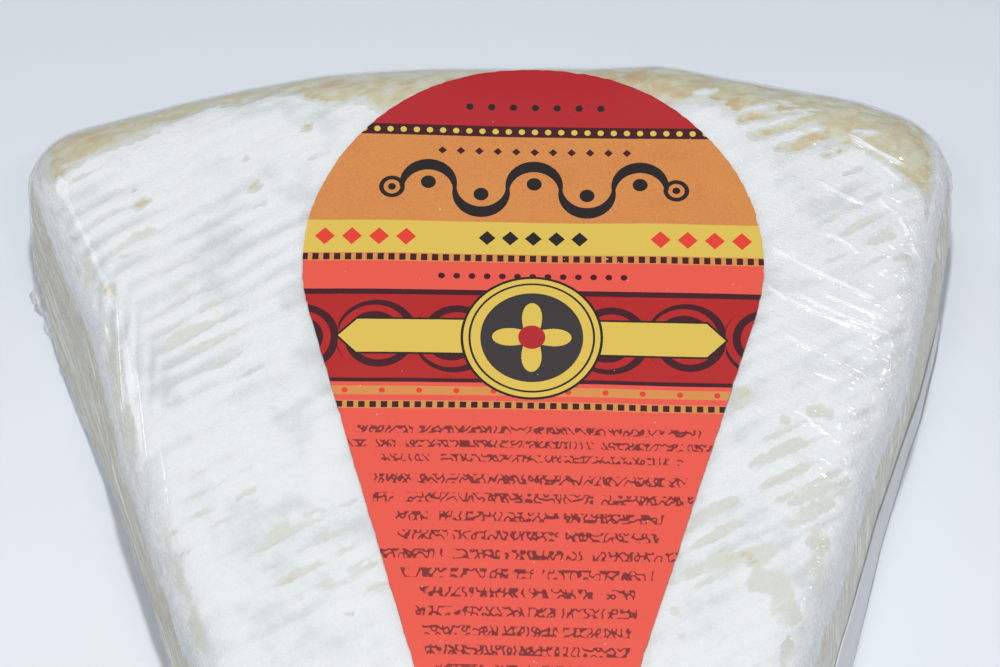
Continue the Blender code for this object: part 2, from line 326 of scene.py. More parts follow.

# %% [markdown]
# ## Bare patches in the white bloom
# The white mould has rubbed off in places and shows the beige rind below: short streaks in the grooves, a few
# round spots, and a broad worn band round the outer edge that reaches furthest in at the right corner. Each
# streak is listed as x, y, half its length, half its width and its turn in degrees, read off the cheese.

# %% Bare patches
STREAKS = (
    (-50.7, 14.6, 5.6, 0.7, 33), (-51.3, 12.0, 3.3, 0.4, 31), (-50.9, 9.2, 2.0, 0.3, 36),
    (-47.2, 5.0, 1.9, 0.25, 31), (-45.2, 3.3, 3.4, 0.5, 37), (-43.1, 2.2, 5.0, 0.4, 19),
    (-40.1, -0.1, 3.6, 0.5, 25), (-31.1, 7.9, 1.4, 0.5, 25), (-24.1, 14.5, 2.0, 0.4, 22),
    (-39.1, -9.0, 4.3, 0.5, 28), (-36.8, -10.6, 4.2, 0.5, 29), (-34.4, -12.5, 2.6, 0.6, 29),
    (-31.1, -13.8, 2.7, 0.5, 30), (-39.9, -3.2, 2.3, 0.3, 32), (-31.9, -7.7, 0.4, 0.3, 0),
    (-28.6, -18.5, 1.1, 0.5, 28), (-31.7, -26.4, 1.3, 0.4, 26), (-31.4, -29.3, 1.7, 0.5, 35),
    (-27.6, -33.5, 2.0, 0.9, 36), (-22.3, -31.0, 3.3, 0.4, 16), (-21.9, -34.0, 1.7, 0.6, 17),
    (-23.0, -37.6, 4.7, 0.6, 27), (-20.1, -39.4, 4.1, 0.7, 26), (-16.9, -40.9, 2.1, 0.7, 21),
    (-25.0, -42.1, 0.8, 0.4, 24), (-20.2, -44.0, 1.1, 0.4, 16), (-38.9, -33.6, 1.2, 0.3, 23),
    (-38.1, -36.3, 0.9, 0.3, 24), (36.4, 12.6, 2.1, 0.3, 24), (38.1, 6.1, 2.1, 0.3, 24),
    (39.9, 3.7, 2.0, 0.4, 19), (41.8, 1.3, 1.6, 0.5, 18), (22.7, -17.1, 2.1, 1.3, 51),
    (27.5, -20.2, 0.7, 0.5, 8), (31.5, -19.2, 1.9, 0.8, -16), (26.4, -24.1, 3.9, 0.6, 29),
    (27.7, -27.0, 3.7, 0.6, 27), (31.2, -29.0, 4.6, 0.6, 26), (30.2, -31.8, 3.6, 0.8, 32),
    (31.0, -35.2, 2.0, 1.3, 12), (30.6, -38.8, 2.3, 1.1, 73), (19.3, -31.4, 3.5, 0.6, 29),
    (19.9, -34.3, 3.8, 0.6, 29), (19.5, -38.0, 6.4, 0.7, 23), (24.3, -37.0, 2.4, 1.2, 29),
    (25.6, -40.6, 3.6, 1.9, -32), (27.0, -43.4, 2.4, 1.5, -48), (15.0, -43.5, 1.0, 0.5, 27),
    (15.6, -46.5, 1.0, 0.5, 38), (27.1, -48.0, 2.3, 0.8, 80), (-4.0, -62.0, 3.0, 0.6, 30),
    (12.0, -58.0, 4.0, 0.7, 28), (-9.0, -70.0, 3.0, 0.6, 30), (3.0, -84.0, 4.0, 0.7, 30),
)
RUBBED_SPOTS = (
    (-44.4, 8.1, 1.5, 0.7, 31), (-32.6, 14.0, 0.6, 0.4, 80), (-31.7, 10.4, 1.1, 0.7, 40),
    (-25.8, 18.4, 1.0, 0.5, 15), (-45.3, 10.2, 0.3, 0.2, 0), (-36.5, -3.1, 0.3, 0.25, 0),
    (-51.5, 0.5, 1.3, 0.5, -60), (-47.8, -2.8, 1.1, 0.6, -70),
)
# Fields where the grooves themselves are worn, as x, y, half the width, half the height and strength
WORN_FIELDS = (
    (-24.0, -36.5, 9.0, 8.0, 0.45), (-37.5, -8.0, 8.0, 8.0, 0.45), (-47.0, 6.0, 7.0, 8.0, 0.30),
    (29.0, -27.0, 7.0, 9.0, 0.55), (18.0, -36.0, 6.0, 8.0, 0.50), (36.0, 5.0, 7.0, 9.0, 0.45),
    (-36.0, -30.0, 5, 8, 0.3), (-8.0, -66.0, 9.0, 12.0, 0.45), (9.0, -74.0, 7.0, 14.0, 0.40),
)
WORN_PATCHES = (
    (23.7, 24.1, 5.5, 1.2, -9), (26.4, 22.9, 4.3, 0.9, 9), (25.9, 20.3, 3.0, 0.8, 25),
    (27.9, 18.2, 3.7, 0.75, 21), (31.8, 16.9, 5.2, 0.95, 22), (35.0, 15.7, 2.9, 0.7, 31),
    (34.3, 21.9, 4.6, 1.1, -19), (38.2, 19.3, 5.6, 1.4, -23), (42.0, 15.5, 6.1, 1.8, -27),
    (44.3, 13.2, 4.2, 1.3, -53), (45.6, 8.5, 3.7, 0.7, -86),
)
STANDING_BLOOM = (
    (26.1, 21.4, 2.3, 0.5, 13), (28.5, 19.3, 4.2, 0.4, 22), (29.3, 16.8, 2.7, 0.4, 26),
    (33.1, 15.1, 3.6, 0.3, 17), (30.7, 21.1, 4.7, 0.15, 10), (20.1, 23.8, 1.7, 0.5, 20),
    (38.2, 18.0, 1.9, 0.4, -7), (29.7, 22.3, 1.5, 0.3, -17),
)

# Width of the worn band along the outer rind, in mm, at places in mm across the wedge
WORN_AT = (-60, -52, -44, -39, -33, -28, -24, -18, -8, 10, 20, 60)
WORN_WIDTH = (9.5, 8.2, 6.4, 5.5, 4.9, 5.2, 7.8, 9.0, 8.5, 8.5, 9.2, 9.2)
# The right corner is worn past a line through this place, which falls this steeply to the right
CORNER_LINE = (33, 19.5)
CORNER_SLOPE = 0.78


def strokes(x, y, places, ragged):
    """How surely each point lies on one of the listed strokes, from 0 to 1."""
    found = np.zeros_like(x)
    for middle_x, middle_y, half_length, half_width, degrees in places:
        turn = math.radians(degrees)
        along = (x - middle_x) * math.cos(turn) + (y - middle_y) * math.sin(turn)
        across = (y - middle_y) * math.cos(turn) - (x - middle_x) * math.sin(turn)
        taper = half_width * (1.15 - 0.75 * np.clip(np.abs(along) / half_length, 0, 1) ** 2)
        past_end = np.maximum(np.abs(along) - (half_length - half_width), 0)
        away = np.hypot(past_end, across) / taper
        found = np.maximum(found, step_between(1.45, 0.4, away + ragged))
    return found


def worn_fields(x, y):
    """How much of the grooves is worn at each point, from 0 to 1."""
    found = np.zeros_like(x)
    for middle_x, middle_y, half_width, half_height, share in WORN_FIELDS:
        away = np.hypot((x - middle_x) / half_width, (y - middle_y) / half_height)
        found = np.maximum(found, share * step_between(1.1, 0.4, away))
    return found


def worn_rim(x, y, grooves, ragged):
    """The worn band round the outer rind, and the corner field it opens into."""
    width = np.interp(x, WORN_AT, WORN_WIDTH)
    edge = 0.32 * ragged + 0.22 * noise_at(x, y, 0 * x, 4, 18) - 0.15 * grooves
    band = step_between(1.15, 0.8, inside_rind(x, y) / width + edge)
    past_corner_line = y - (CORNER_LINE[1] - CORNER_SLOPE * (x - CORNER_LINE[0]))
    field = step_between(-0.9, 0.7, past_corner_line + ragged) * step_between(30.5, 32.5, x + ragged)
    bare = np.maximum(np.maximum(band, field), strokes(x, y, WORN_PATCHES, ragged))
    return bare * (1 - 0.75 * strokes(x, y, STANDING_BLOOM, ragged))


print(len(STREAKS) + len(RUBBED_SPOTS), "bare streaks and spots")

# %% [markdown]
# ## The cheese
# The cheese is the skin moved in a little, with the grooves, the bare patches and slow lumps pressed into it.
# It also keeps three numbers for each point: how bare the rind is, how deep in a groove or wrinkle it is, and
# how much of it is paste. Paste shows on the two cuts below the rind, and rind everywhere else. The material
# turns these into colours, and by the second it paints shade into the grooves and wrinkles. Each number has a
# function of its own here, so that it can be changed without the others.

# %% How bare the rind is
OUTER_WALL_BLOOM = (23, 13)


def cut_share(x, y):
    """1 on the two cuts, 0 on the outer rind, with a soft change at the corners."""
    return step_between(-1.5, 1.5, inside_rind(x, y) - np.minimum(inside_left(x, y), inside_right(x, y)))


def mat_noise(x, y, z):
    """Noise that frays every border and noise of fine wrinkles, both drawn out along the mat's ridges."""
    along_mat = x * math.cos(MAT_ANGLE) + y * math.sin(MAT_ANGLE)
    across_mat = y * math.cos(MAT_ANGLE) - x * math.sin(MAT_ANGLE)
    ragged = 0.55 * noise_at(along_mat * 0.4, across_mat, z, 1.3, 3) + 0.40 * noise_at(x, y, z, 0.8, 4)
    return ragged, noise_at(along_mat * 0.28 + 3, across_mat, z, 1.9, 22)


def bare_streaks(x, y, z, bend, ragged):
    """Streaks and spots on the top, strongest on the right, and the fields where the grooves are worn."""
    blotch = noise_at(x, y, z, 2.5, 17)
    rightwards = step_between(10, 18, x) * (0.18 - 0.06 * step_between(-29, -35, y))
    streaks = (0.42 + rightwards + 0.35 * blotch) * strokes(x, y, STREAKS, ragged + 0.4 * blotch)
    in_groove = step_between(0.25, 0.8, mat_line(x, y, bend) + 0.35 * ragged)
    lines = worn_fields(x, y) * in_groove * (1 + blotch)
    return np.maximum(np.maximum(streaks, lines), 0.9 * strokes(x, y, RUBBED_SPOTS, ragged))


def bare_shoulder(x, y, z, up, ragged):
    """Patches along the rounded edges between the top and the cuts, fewer on the right."""
    nearest_cut = np.minimum(inside_left(x, y), inside_right(x, y))
    shoulder = step_between(0.28, 0.5, up) * step_between(0.93, 0.72, up) * step_between(9, 6, nearest_cut)
    patches = np.clip(0.34 + 0.6 * noise_at(x, y, z, 5, 6) + 0.3 * ragged, 0, 0.6)
    return shoulder * (patches * (1 - 0.8 * step_between(0, 10, x)))


def how_bare(x, y, z, up, top, grooves, bend, ragged):
    """0 where the bloom is whole, 1 where it is gone."""
    worn = worn_rim(x, y, grooves, ragged) * (1 - cut_share(x, y) * (1 - top))
    worn *= 0.85 + 0.15 * step_between(-5, 22, x)
    left_white = step_between(-0.6, 0.45, noise_at(x, y, z, 5, 21) + 0.6 * ragged)
    worn *= 1 - 0.9 * step_between(*OUTER_WALL_BLOOM, z) * left_white
    on_top = np.maximum(bare_streaks(x, y, z, bend, ragged) * top, worn)
    return np.maximum(on_top, bare_shoulder(x, y, z, up, ragged))


print("share of cut at the head:", cut_share(0, 0))

# %% Cheese
UNDER_FILM = 0.18
BEHIND_STRIP = 0.02
GROOVE_DEPTH = 0.5
WORN_DEPTH = 0.08
LUMP_DEPTH = 0.12
GRAIN_DEPTH = 0.05
PASTE_GRAIN_DEPTH = 0.06
WRINKLE_DEPTH = 0.18
RIND_THICKNESS = 1.6
PASTE_UNDER = (27, 21)
ON_THE_TABLE = 0.3


def paste_share(x, y, z, up, ragged):
    """1 on the cuts between the two rinds, with a ragged upper border."""
    below_rind = step_between(*PASTE_UNDER, z + 2.5 * noise_at(x, y, z * 0.3, 8, 20) + ragged)
    upright = step_between(0.4, 0.1, np.abs(up))
    return cut_share(x, y) * upright * step_between(0.6, RIND_THICKNESS, z) * below_rind


def make_cheese():
    cheese = copy_of(skin, "cheese")
    points, normals = points_of(cheese), normals_of(cheese)
    x, y, z = from_head(points)
    up = normals[:, 2]
    top = step_between(0.45, 0.85, up)
    ragged, wrinkles = mat_noise(x, y, z)
    wrinkles *= top
    bend = mat_bend(x, y, z)
    grooves = mat_grooves(x, y, bend) * top
    bare = how_bare(x, y, z, up, top, grooves, bend, ragged)
    paste = paste_share(x, y, z, up, ragged)
    grooves *= np.clip(0.6 + 1.1 * noise_at(x, y, z, 11, 5), 0.05, 1)
    lumps = np.clip(noise_at(x, y, z, 3.2, 7), -0.5, 1)
    depth = UNDER_FILM + GROOVE_DEPTH * grooves + WORN_DEPTH * bare + WRINKLE_DEPTH * wrinkles
    depth += LUMP_DEPTH * lumps + GRAIN_DEPTH * noise_at(x, y, z, 1.2, 19)
    depth += PASTE_GRAIN_DEPTH * paste * noise_at(x, y, z, 2.2, 8)
    behind_strip = cut_share(x, y) * step_between(0, 20, x) * step_between(15.5, 14, z) * (1 - top)
    depth = depth * (1 - behind_strip) + BEHIND_STRIP * behind_strip
    lifted = z > ON_THE_TABLE
    points[lifted] -= (normals * (depth * MM)[:, None])[lifted]
    move_points(cheese, points)
    store(cheese, "bare", bare)
    # Painted shade: the material greys the bloom in the grooves and wrinkles by this number.
    store(cheese, "groove", grooves + 0.8 * np.clip(wrinkles, 0, 1))
    store(cheese, "paste", paste)
    return cheese


cheese = make_cheese()
settle(cheese)
print("cheese:", triangles(cheese), "triangles")

# %% [markdown]
# ## Folds in the film
# The film is pulled tight from the label's right edge down to the right corner, and it stands up in a few sharp
# folds there. More folds run down the left edge. Each fold is listed as its two ends and its height in mm. A
# fold is a thin round ridge that fades at both ends, so the film is cut finer along the folds first. Where film
# is folded or crumpled it turns milky. The film keeps numbers for that: the crests of its folds are painted
# white, as highlights, and crumpled or gathered film is made milky.

# %% Film folds
FOLDS = (
    (35.9, 17.6, 42.8, 13.2, 0.55), (36.2, 16.6, 41.6, 13.4, 0.35), (32.6, 4.0, 36.7, 1.0, 0.40),
    (26.1, 2.3, 38.7, -4.9, 0.50), (25.9, -3.2, 28.7, -5.3, 0.40), (26.0, -3.6, 40.4, -10.2, 0.30),
    (28.2, -3.6, 41.1, -9.6, 0.30), (31.4, -3.6, 41.1, -7.9, 0.25), (27.9, -19.0, 32.1, -22.4, 0.40),
    (31.5, 11.5, 39.3, 7.5, 0.22), (39.2, 9.1, 41.3, 6.8, 0.35), (41.3, 6.8, 42.7, 3.7, 0.40),
    (42.7, 3.7, 44.0, 1.5, 0.40), (38.4, 14.2, 42.2, 10.2, 0.25), (26.9, -8.8, 36.1, -14.1, 0.20),
    (-46.6, -2.9, -44.7, -27.0, 0.13), (-48.3, -3.0, -45.2, -20.0, 0.12), (-44.0, -12.0, -41.6, -30.0, 0.11),
    (-41.0, -22.0, -39.4, -36.0, 0.10),
)
FOLD_WIDTH = 0.24
FOLD_CUTS = 2
# Folds of at least this height gather the film beside them into a band this wide
GATHERED = 0.45
HAZE_WIDTH = 1.1

# Crumpled scraps of film, as x, y, z, reach and height in mm
SCRAPS = (
    (-59.2, 14.3, 4, 3.4, 0.9), (-58.4, 11.0, 2.5, 3.0, 1.5), (-57.2, 7.2, 2, 2.6, 0.9),
    (48.6, 18.6, 18, 2.6, 0.6), (49.4, 16.0, 9, 2.2, 0.4), (-55.5, 2.0, 2, 2.4, 0.5),
)
SKIRT_HEIGHT = 3.4
CLINGS = 0.02
PLEAT_HEIGHT = 0.14
STRIP_REACHES = (9, 13)


def fold_heights(x, y):
    """Height of the folds at each point, in mm."""
    found = np.zeros_like(x)
    for start_x, start_y, end_x, end_y, height in FOLDS:
        length = math.hypot(end_x - start_x, end_y - start_y)
        run_x, run_y = (end_x - start_x) / length, (end_y - start_y) / length
        along = ((x - start_x) * run_x + (y - start_y) * run_y) / length
        across = (y - start_y) * run_x - (x - start_x) * run_y
        bow = 0.5 * math.sin(7 * height + length) * np.sin(math.pi * np.clip(along, 0, 1))
        fade = step_between(0, 0.2, along) * step_between(1, 0.75, along)
        found = np.maximum(found, height * fade * np.exp(-((across - bow) / FOLD_WIDTH) ** 2))
    return found


def haze(x, y):
    """How much the film gathers into a milky band along the highest folds, from 0 to 1."""
    found = np.zeros_like(x)
    for start_x, start_y, end_x, end_y, height in FOLDS:
        if height >= GATHERED:
            away = np.hypot(x - (start_x + end_x) / 2, y - (start_y + end_y) / 2)
            reach = math.hypot(end_x - start_x, end_y - start_y) / 2
            turn = math.atan2(end_y - start_y, end_x - start_x)
            across = (y - start_y) * math.cos(turn) - (x - start_x) * math.sin(turn)
            band = 0.5 * step_between(1.1 * reach, 0.7 * reach, away) * np.exp(-((across / HAZE_WIDTH) ** 2))
            found = np.maximum(found, band)
    return found


def scrap_heights(x, y, z):
    """Height of the crumpled scraps at each point, in mm."""
    crumple = 0.55 + 0.9 * np.abs(noise_at(x, y, z, 1.1, 15))
    found = np.zeros_like(x)
    for middle_x, middle_y, middle_z, reach, height in SCRAPS:
        away = np.sqrt((x - middle_x) ** 2 + (y - middle_y) ** 2 + (z - middle_z) ** 2)
        found = np.maximum(found, height * step_between(reach, 0.3 * reach, away))
    return found * crumple


def cut_folds_finer(film):
    """Subdivides the faces that a fold runs over."""
    points, normals = points_of(film), normals_of(film)
    x, y, z = from_head(points)
    near = (fold_heights(x, y) > 0.02) & (normals[:, 2] > 0.3)
    edit(film, lambda: bpy.ops.mesh.select_all(action="DESELECT"))
    for face in film.data.polygons:
        face.select = any(near[i] for i in face.vertices)
    edit_selected(film, bpy.ops.mesh.subdivide, number_cuts=FOLD_CUTS)


def pleats(x, y, z, side):
    """Height of the pleats on the cuts: along the left one, and up and down the right one above the strip."""
    along_left = y / math.cos(LEFT_CUT_ANGLE)
    on_left = 2 * noise_at(along_left * 0.10, z * 1.1, x * 0.1, 1.6, 9)
    on_right = noise_at(y * 0.9, z * 0.22, x * 0.1, 1.6, 10)
    raised = np.clip(np.where(side < 0, on_left, on_right) + 0.3, 0, 1.6)
    return raised * np.where(side < 0, 1, step_between(*STRIP_REACHES, z))


def make_film():
    film = copy_of(skin, "film")
    cut_folds_finer(film)
    points, normals = points_of(film), normals_of(film)
    x, y, z = from_head(points)
    top = step_between(0.3, 0.8, normals[:, 2])
    on_cut = cut_share(x, y) * (1 - top)
    side = np.where(x < CUTS_MEET[0], -1.0, 1.0)
    folds, scraps = fold_heights(x, y) * top, scrap_heights(x, y, z) * (1 - top)
    skirt = np.clip(1 - z / SKIRT_HEIGHT, 0, 1) ** 1.5 * (0.22 + 0.5 * noise_at(x, y, z * 0.3, 7, 16))
    off = CLINGS + folds + PLEAT_HEIGHT * on_cut * pleats(x, y, z, side) + on_cut * skirt + scraps
    lifted = z > ON_THE_TABLE
    points[lifted] += (normals * (off * MM)[:, None])[lifted]
    points[:, 2] = np.maximum(points[:, 2], 0)
    move_points(film, points)
    store(film, "on_cut", on_cut)
    store(film, "side", side)
    store(film, "strained", step_between(18, 30, x) * step_between(-60, -14, y) * top)
    # Painted highlight: the material paints the crests of the folds white by this number.
    store(film, "folded", np.clip(2.2 * folds, 0, 1))
    store(film, "bunched", np.clip(haze(x, y) * top + 0.9 * scraps, 0, 1))
    return film


film = make_film()
settle(film)
film.visible_shadow = False
film.visible_diffuse = False
print("film:", triangles(film), "triangles")

# %% [markdown]
# ## The top label
# The label is one sheet of paper with a round head and straight sides that taper towards the wedge's tip. It
# starts as a fine grid. Straight cuts with the bisect tool trim the sides, and a fan of short ones rounds the
# ends, as scissors would. Shrinkwrap lays it on the film, smoothing makes the paper bridge the small bumps, and
# Solidify gives it its thickness. Its edges and underside are bare white paper.

# %% Top label
LABEL_TAPER = math.radians(16.55)
LABEL_TURN = math.radians(-1.0)
LABEL_TIP_RADIUS = 5
LABEL_TIP_Y = -(LABEL_RADIUS - LABEL_TIP_RADIUS) / math.sin(LABEL_TAPER)
LABEL_CELL = 0.8
PAPER = 0.16
STIFF_LIFT = 0.8
STIFF_FROM, STIFF_FULL = 15, 26
WAVES = 0.10
SCISSOR_TURN = math.radians(4)
MARGIN = 2


def trim(middle, radius, direction):
    """Cuts off all that lies further than the radius from the middle, in one direction."""
    outward = Vector((math.cos(direction + LABEL_TURN), math.sin(direction + LABEL_TURN), 0))
    turned_middle = Matrix.Rotation(LABEL_TURN, 3, "Z") @ Vector((middle[0], middle[1], 0))
    bpy.ops.mesh.select_all(action="SELECT")
    bpy.ops.mesh.bisect(
        plane_co=HEAD + (turned_middle + outward * radius) * MM, plane_no=outward, clear_outer=True
    )


def trim_round(middle, radius, start, end):
    count = math.ceil((end - start) / SCISSOR_TURN)
    for i in range(count + 1):
        trim(middle, radius, start + (end - start) * i / count)


def press_onto_film(paper, lift):
    """Moves the points of flat paper along its own facing until they lie this many mm off the film."""
    apply_modifier(
        paper, "SHRINKWRAP", target=film, wrap_method="PROJECT", use_project_z=True,
        use_negative_direction=True, use_positive_direction=False, offset=lift * MM,
    )


def make_top_label():
    width = 2 * LABEL_RADIUS + MARGIN
    length = LABEL_RADIUS + LABEL_TIP_RADIUS - LABEL_TIP_Y + MARGIN
    middle_y = (LABEL_RADIUS + LABEL_TIP_Y - LABEL_TIP_RADIUS) / 2
    bpy.ops.object.select_all(action="DESELECT")
    bpy.ops.mesh.primitive_grid_add(
        x_subdivisions=round(width / LABEL_CELL), y_subdivisions=round(length / LABEL_CELL), size=1,
        location=HEAD + Vector((0, middle_y, 2 * HEIGHT)) * MM,
    )
    label = bpy.context.object
    label.name = label.data.name = "top_label_paper"
    label.scale = (width * MM, length * MM, 1)
    settle(label)
    edit(
        label,
        lambda: trim_round((0, 0), LABEL_RADIUS, -LABEL_TAPER, math.pi + LABEL_TAPER),
        lambda: trim_round(
            (0, LABEL_TIP_Y), LABEL_TIP_RADIUS, math.pi + LABEL_TAPER, 2 * math.pi - LABEL_TAPER
        ),
    )
    press_onto_film(label, LABEL_LIFT)
    apply_modifier(label, "SMOOTH", factor=0.5, iterations=40, use_x=False, use_y=False)
    points = points_of(label)
    x, y, z = from_head(points)
    points[:, 2] += WAVES * MM * (1 + noise_at(x, y, z, 9, 12))
    points[:, 2] += STIFF_LIFT * MM * step_between(STIFF_FROM, STIFF_FULL, y)
    move_points(label, points)
    apply_modifier(
        label, "SOLIDIFY", thickness=PAPER * MM, offset=1, material_offset=1, material_offset_rim=1,
        use_even_offset=True,
    )
    return label


top_label = make_top_label()
settle(top_label, crisp=True)
print("top label:", triangles(top_label), "triangles, taper starts to close at", round(LABEL_TIP_Y, 1), "mm")

# %% [markdown]
# ## The white strip
# A strip of plain paper runs along the foot of the right cut, low at its far end and higher at its near one. It
# stands as a grid beside the cut, its rows are set to the strip's height, and Shrinkwrap pushes it against the
# film. The foot of the cheese is rounded and paper is stiff, so below the cut's widest line the strip hangs
# straight, and it flares out where it was bent. It is creased lengthwise.

# %% Side label
STRIP_FROM = 172
STRIP_TO = 96
STRIP_RISE = (5.2, 12.4)
STRIP_FOOT = 0.5
STRIP_LIFT = 0.02
STRIP_FLARE = (0.1, 1.9)
STRIP_STEP_AT = 0.62
STRIP_STEP = 0.9
STRIP_ROWS = 18
STRIP_COLUMN = 0.7
STRIP_STANDS_OFF = 12
CREASE_AT, CREASE_HEIGHT, CREASE_WIDTH = 0.45, 0.18, 0.09
RIGHT_CUT = Vector((math.sin(RIGHT_CUT_ANGLE), math.cos(RIGHT_CUT_ANGLE), 0))
RIGHT_OUT = Vector((math.cos(RIGHT_CUT_ANGLE), -math.sin(RIGHT_CUT_ANGLE), 0))


def make_side_label():
    start = HEAD + Vector((CUTS_MEET[0], CUTS_MEET[1], 0)) * MM
    far = start + RIGHT_CUT * (STRIP_FROM / math.cos(RIGHT_CUT_ANGLE)) * MM
    near = start + RIGHT_CUT * (STRIP_TO / math.cos(RIGHT_CUT_ANGLE)) * MM
    length = (far - near).length
    columns = round(length / (STRIP_COLUMN * MM))
    facing = Matrix((RIGHT_CUT, Vector((0, 0, 1)), RIGHT_OUT)).transposed().to_euler()
    foot = (far + near) / 2 + Vector((0, 0, STRIP_FOOT * MM)) + RIGHT_OUT * STRIP_STANDS_OFF * MM
    bpy.ops.object.select_all(action="DESELECT")
    bpy.ops.mesh.primitive_grid_add(
        x_subdivisions=columns, y_subdivisions=STRIP_ROWS, size=1, location=foot, rotation=facing
    )
    strip = bpy.context.object
    strip.name = strip.data.name = "side_label_paper"
    grid = points_of(strip).reshape(STRIP_ROWS + 1, columns + 1, 3)
    share = grid[:, :, 0] + 0.5
    level = grid[:, :, 1] + 0.5
    rise = STRIP_RISE[1] + (STRIP_RISE[0] - STRIP_RISE[1]) * share
    rise += STRIP_STEP * step_between(STRIP_STEP_AT, STRIP_STEP_AT - 0.015, share) + 0.15 * np.sin(37 * share)
    grid[:, :, 0] *= length
    grid[:, :, 1] = level * rise * MM
    move_points(strip, grid)
    press_onto_film(strip, STRIP_LIFT)
    settle(strip)
    grid = points_of(strip).reshape(STRIP_ROWS + 1, columns + 1, 3)
    out = grid @ np.array(RIGHT_OUT)
    hanging = np.maximum.accumulate(out[::-1], axis=0)[::-1]
    flare = STRIP_FLARE[1] + (STRIP_FLARE[0] - STRIP_FLARE[1]) * share
    from_crease = (level - CREASE_AT - 0.1 * np.sin(9 * share)) / CREASE_WIDTH
    off = flare * (1 - level) + CREASE_HEIGHT * np.exp(-(from_crease ** 2))
    x, y, z = from_head(grid.reshape(-1, 3))
    off += 0.15 * noise_at(y, z * 0.4, x, 6, 14).reshape(off.shape) * (1 - level)
    grid += np.array(RIGHT_OUT) * (hanging - out + off * MM)[:, :, None]
    move_points(strip, grid)
    apply_modifier(strip, "SOLIDIFY", thickness=PAPER * MM, offset=1)
    return strip


side_label = make_side_label()
settle(side_label, crisp=True)
print("side label:", triangles(side_label), "triangles")

# %% [markdown]
# ## Materials as Python expressions
# A material's pattern is mostly arithmetic. Writing it with nodes by hand takes many lines, so one small class
# wraps a socket, and Python's own operators on it add the Math nodes. Every other node comes from one method of
# the recipe, which takes the node's type, its settings and its inputs. Colours are mixed with Mix nodes, never
# with Math nodes.

# %% Sockets and recipes
class Value:
    """A number that varies over a surface. Operators on it add Math nodes to its recipe."""

    def __init__(self, recipe, socket):
        self.recipe = recipe
        self.socket = socket

    def math(self, operation, *others):
        inputs = dict(enumerate((self, *others)))
        return self.recipe.node("ShaderNodeMath", {"operation": operation}, inputs)

    def __rsub__(self, other):
        return (self * -1) + other

    def step(self, low, high):
        """A smooth step from 0 at low to 1 at high."""
        limits = {0: self, 1: low, 2: high, 3: 0, 4: 1}
        if low > high:
            limits = {0: self, 1: high, 2: low, 3: 1, 4: 0}
        return self.recipe.node("ShaderNodeMapRange", {"interpolation_type": "SMOOTHSTEP"}, limits)

    def between(self, low, high):
        return (self > low) * (self < high)

    def repeated(self, pitch):
        """The distance to the middle of the nearest of cells that repeat at this pitch."""
        return ((self / pitch + 0.5).math("FRACT") - 0.5) * pitch


def add_operator(name, operation):
    setattr(Value, name, lambda value, *others: value.math(operation, *others))


for name, operation in (
    ("__add__", "ADD"), ("__radd__", "ADD"), ("__sub__", "SUBTRACT"), ("__mul__", "MULTIPLY"),
    ("__rmul__", "MULTIPLY"), ("__truediv__", "DIVIDE"), ("__gt__", "GREATER_THAN"), ("__lt__", "LESS_THAN"),
    ("__abs__", "ABSOLUTE"), ("root", "SQRT"), ("either", "MAXIMUM"), ("both", "MINIMUM"),
):
    add_operator(name, operation)


class Recipe:
    """One material's nodes."""

    def __init__(self, name):
        self.material = bpy.data.materials.new(name)
        self.material.use_nodes = True
        self.tree = self.material.node_tree
        self.tree.nodes.clear()
        self.place = self.node("ShaderNodeTexCoord", {}, {}, "Object")

    def node(self, kind, settings, inputs, output=0):
        """Adds a node: first its settings, then the value or link of each socket. Returns one output."""
        made = self.tree.nodes.new(kind)
        for name, value in settings.items():
            setattr(made, name, value)
        for name, value in inputs.items():
            if isinstance(value, Value):
                self.tree.links.new(value.socket, made.inputs[name])
            else:
                made.inputs[name].default_value = value
        return Value(self, made.outputs[output]) if made.outputs else made

    def stored(self, name):
        return self.node("ShaderNodeAttribute", {"attribute_name": name}, {}, "Fac")

    def noise(self, size, detail=2, place=None, stretch=(1, 1, 1), turn=0, roughness=0.5):
        """Noise from 0 to 1 with bumps of about this size in mm, longer along an axis where it is stretched."""
        scale = tuple(1 / (size * MM * share) for share in stretch)
        turned = self.node("ShaderNodeMapping", {}, {"Vector": place or self.place, "Rotation": (0, 0, turn)})
        spread = self.node("ShaderNodeVectorMath", {"operation": "MULTIPLY"}, {0: turned, 1: scale})
        inputs = {"Vector": spread, "Scale": 1, "Detail": detail, "Roughness": roughness}
        return self.node("ShaderNodeTexNoise", {}, inputs, "Fac")

    def paint(self, under, share, over):
        """One colour over another, by a share from 0 to 1."""
        sockets = {0: share, 6: under, 7: over}
        return self.node("ShaderNodeMix", {"data_type": "RGBA"}, sockets, 2)

    def bump(self, height, distance, strength=1, under=None):
        inputs = {"Height": height, "Distance": distance * MM, "Strength": strength}
        if under:
            inputs["Normal"] = under
        return self.node("ShaderNodeBump", {}, inputs)

    def principled(self, **inputs):
        named = {name.replace("_", " "): value for name, value in inputs.items()}
        return self.node("ShaderNodeBsdfPrincipled", {}, named)

    def finish(self, shader):
        self.node("ShaderNodeOutputMaterial", {}, {"Surface": shader})
        return self.material


def linear(level):
    """A level as read on a screen, from 0 to 255, turned into the linear value that Blender mixes."""
    share = level / 255
    return share / 12.92 if share <= 0.04045 else ((share + 0.055) / 1.055) ** 2.4


def colour(red, green, blue):
    return (linear(red), linear(green), linear(blue), 1)


print("a mid grey of 128 is", round(colour(128, 128, 128)[0], 3), "in linear light")

# %% [markdown]
# ## Rind and paste
# The bloom is white with a cool tint, velvety, and greyer where it is thin. The same grey is painted into the
# mat's grooves and wrinkles as shade. Where it has worn off, the rind is beige, and browner in spots. Paste is
# pale cream. The stored numbers say which is where, and noise frays the borders, finer than the mesh could. A
# little subsurface light takes the hardness off, as it does in real cheese.

# %% Cheese material
BLOOM = colour(228, 232, 234)
